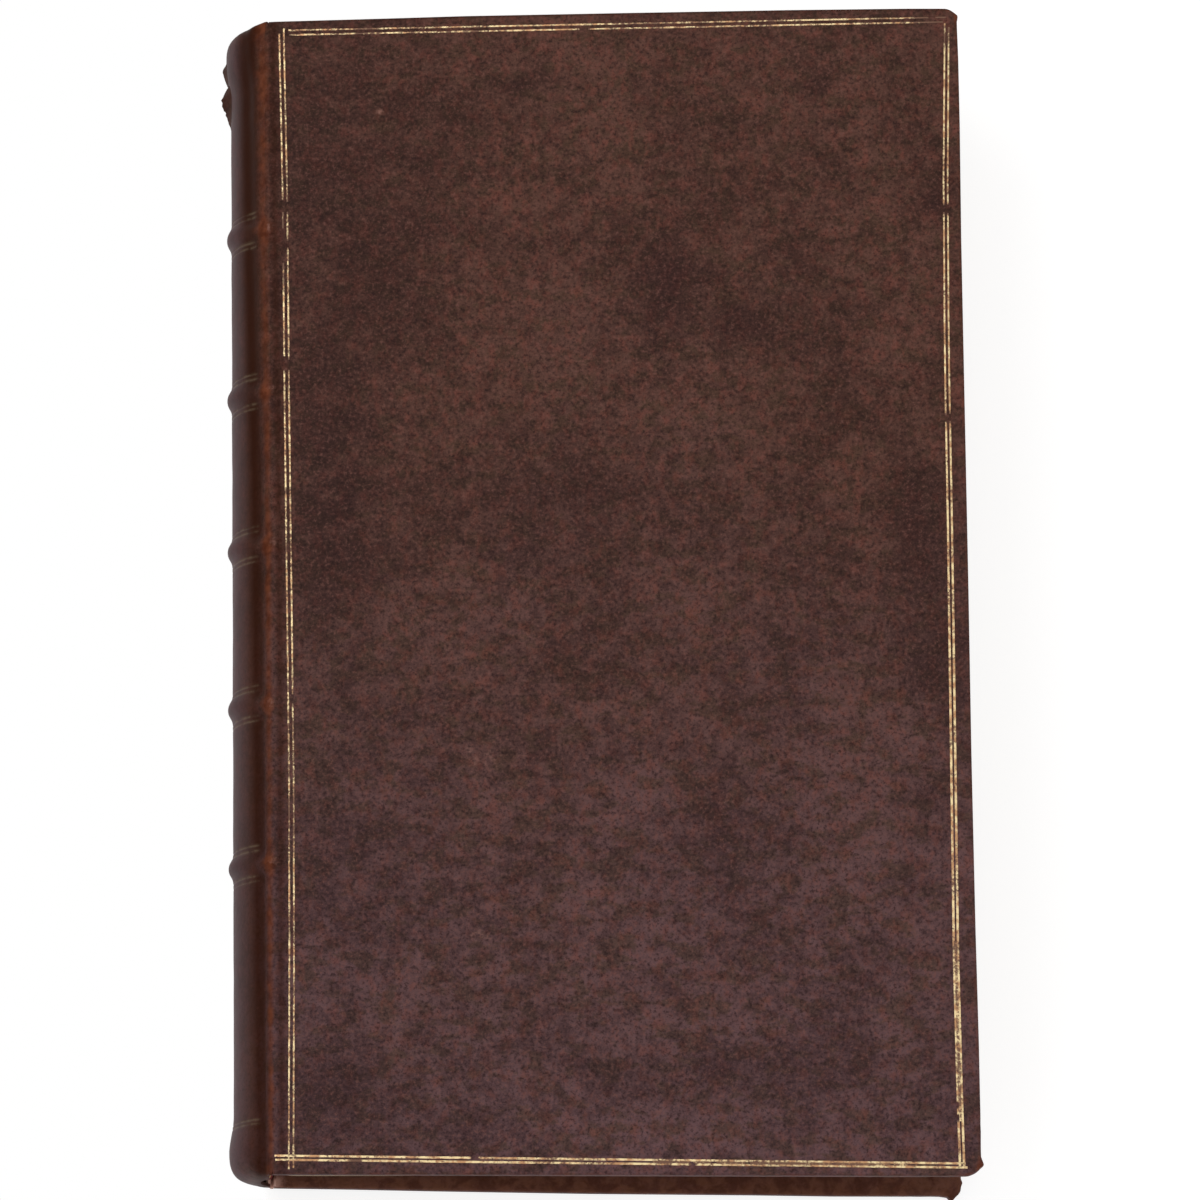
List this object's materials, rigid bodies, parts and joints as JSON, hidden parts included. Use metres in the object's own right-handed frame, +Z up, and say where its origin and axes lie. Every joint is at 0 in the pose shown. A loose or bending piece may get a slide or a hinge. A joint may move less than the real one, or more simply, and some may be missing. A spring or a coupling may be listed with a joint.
{
  "type": "antique leather book",
  "caption": "Closed leather-bound book with laced-in pasteboard covers, raised bands on a round spine and gilt line frames; both covers open at the joints.",
  "frame": {"origin": "centre of the bounding box in plan, at the underside of the back cover that the book lies on", "axes": "+X from the spine to the fore-edge, +Y from the tail to the head of the book, +Z up through the thickness from the back cover to the front cover"},
  "size_m": [0.1277, 0.2016, 0.0356],
  "materials": {
    "leaves": "cut edges, browned and dusty",
    "pastedown_paper": "laid paper, browned at the edges",
    "pasteboard": "matte grey-brown pasteboard",
    "hemp_cord": "twisted hemp",
    "endband_silk": "faded silk sewn over a core",
    "calf_covers": "mottled brown calf, polished and scuffed",
    "calf_spine": "darkened calf, glossy with a grey-purple bloom",
    "gilt": "rubbed gold leaf in tooled lines"
  },
  "bodies": {
    "text_block": {"text_block": "leaves", "sewing_cord_1": "hemp_cord", "sewing_cord_2": "hemp_cord", "sewing_cord_3": "hemp_cord", "sewing_cord_4": "hemp_cord", "sewing_cord_5": "hemp_cord", "head_endband": "endband_silk", "tail_endband": "endband_silk", "spine_leather": "calf_spine"},
    "front_cover": {"front_board": "pasteboard", "front_slip_1": "hemp_cord", "front_slip_2": "hemp_cord", "front_slip_3": "hemp_cord", "front_slip_4": "hemp_cord", "front_slip_5": "hemp_cord", "front_cover_leather": "calf_covers", "front_pastedown": "pastedown_paper", "front_gilt_lines": "gilt"},
    "back_cover": {"back_board": "pasteboard", "back_slip_1": "hemp_cord", "back_slip_2": "hemp_cord", "back_slip_3": "hemp_cord", "back_slip_4": "hemp_cord", "back_slip_5": "hemp_cord", "back_cover_leather": "calf_covers", "back_pastedown": "pastedown_paper", "back_gilt_lines": "gilt"}
  },
  "joints": [
    {"name": "front_joint", "type": "hinge", "parent": "text_block", "child": "front_cover", "pos_m": [-0.05575, 0, 0.029], "axis": [0, -1, 0], "range_deg": [0, 175]},
    {"name": "back_joint", "type": "hinge", "parent": "text_block", "child": "back_cover", "pos_m": [-0.05575, 0, 0], "axis": [0, 1, 0], "range_deg": [0, 175]}
  ]
}
